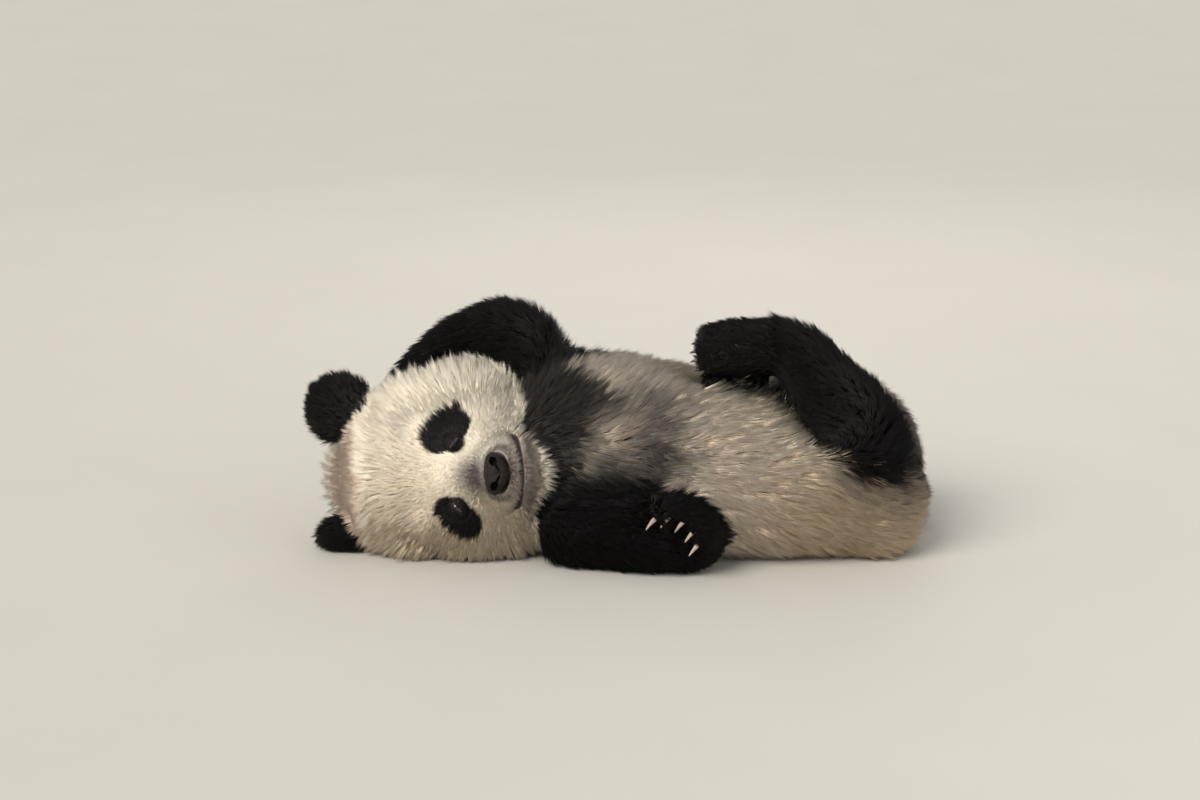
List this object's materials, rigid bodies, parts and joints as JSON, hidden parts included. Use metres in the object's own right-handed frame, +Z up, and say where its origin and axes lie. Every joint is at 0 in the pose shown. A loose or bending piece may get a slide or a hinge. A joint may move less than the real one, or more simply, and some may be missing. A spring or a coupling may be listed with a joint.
{
  "type": "giant panda cub",
  "caption": "Life-size giant panda cub lying on its side, one foreleg folded behind its head and one hind leg raised over its belly.",
  "frame": {"origin": "on the floor, under the middle of the model's box", "axes": "+X from the crown of the head to the rump, +Y from the belly side to the back, +Z up from the floor"},
  "size_m": [0.8898, 0.5118, 0.3419],
  "materials": {
    "white_coat": "matte woolly fur, cream white with buff flanks",
    "black_coat": "matte fur, near black, browner on the ears",
    "eye": "wet gloss, dark brown",
    "nose_leather": "pebbled, slightly moist",
    "claw": "satin horn, pale at the tip"
  },
  "bodies": {
    "root": {"belly": "white_coat", "claw_foreleg_left_1": "claw", "claw_foreleg_left_2": "claw", "claw_foreleg_left_3": "claw", "claw_foreleg_left_4": "claw", "claw_foreleg_left_5": "claw", "claw_foreleg_right_1": "claw", "claw_foreleg_right_2": "claw", "claw_foreleg_right_3": "claw", "claw_foreleg_right_4": "claw", "claw_foreleg_right_5": "claw", "claw_hindleg_left_1": "claw", "claw_hindleg_left_2": "claw", "claw_hindleg_left_3": "claw", "claw_hindleg_left_4": "claw", "claw_hindleg_left_5": "claw", "claw_hindleg_right_1": "claw", "claw_hindleg_right_2": "claw", "claw_hindleg_right_3": "claw", "claw_hindleg_right_4": "claw", "claw_hindleg_right_5": "claw", "ear_left": "black_coat", "ear_right": "black_coat", "eye_left": "eye", "eye_right": "eye", "forearm_left": "black_coat", "forearm_right": "black_coat", "forepaw_left": "black_coat", "forepaw_right": "black_coat", "head": "white_coat", "hindfoot_left": "black_coat", "hindfoot_right": "black_coat", "neck": "white_coat", "nose": "nose_leather", "rump": "white_coat", "shank_left": "black_coat", "shank_right": "black_coat", "shoulders": "black_coat", "tail": "white_coat", "thigh_left": "black_coat", "thigh_right": "black_coat", "upper_arm_left": "black_coat", "upper_arm_right": "black_coat"}
  },
  "joints": []
}
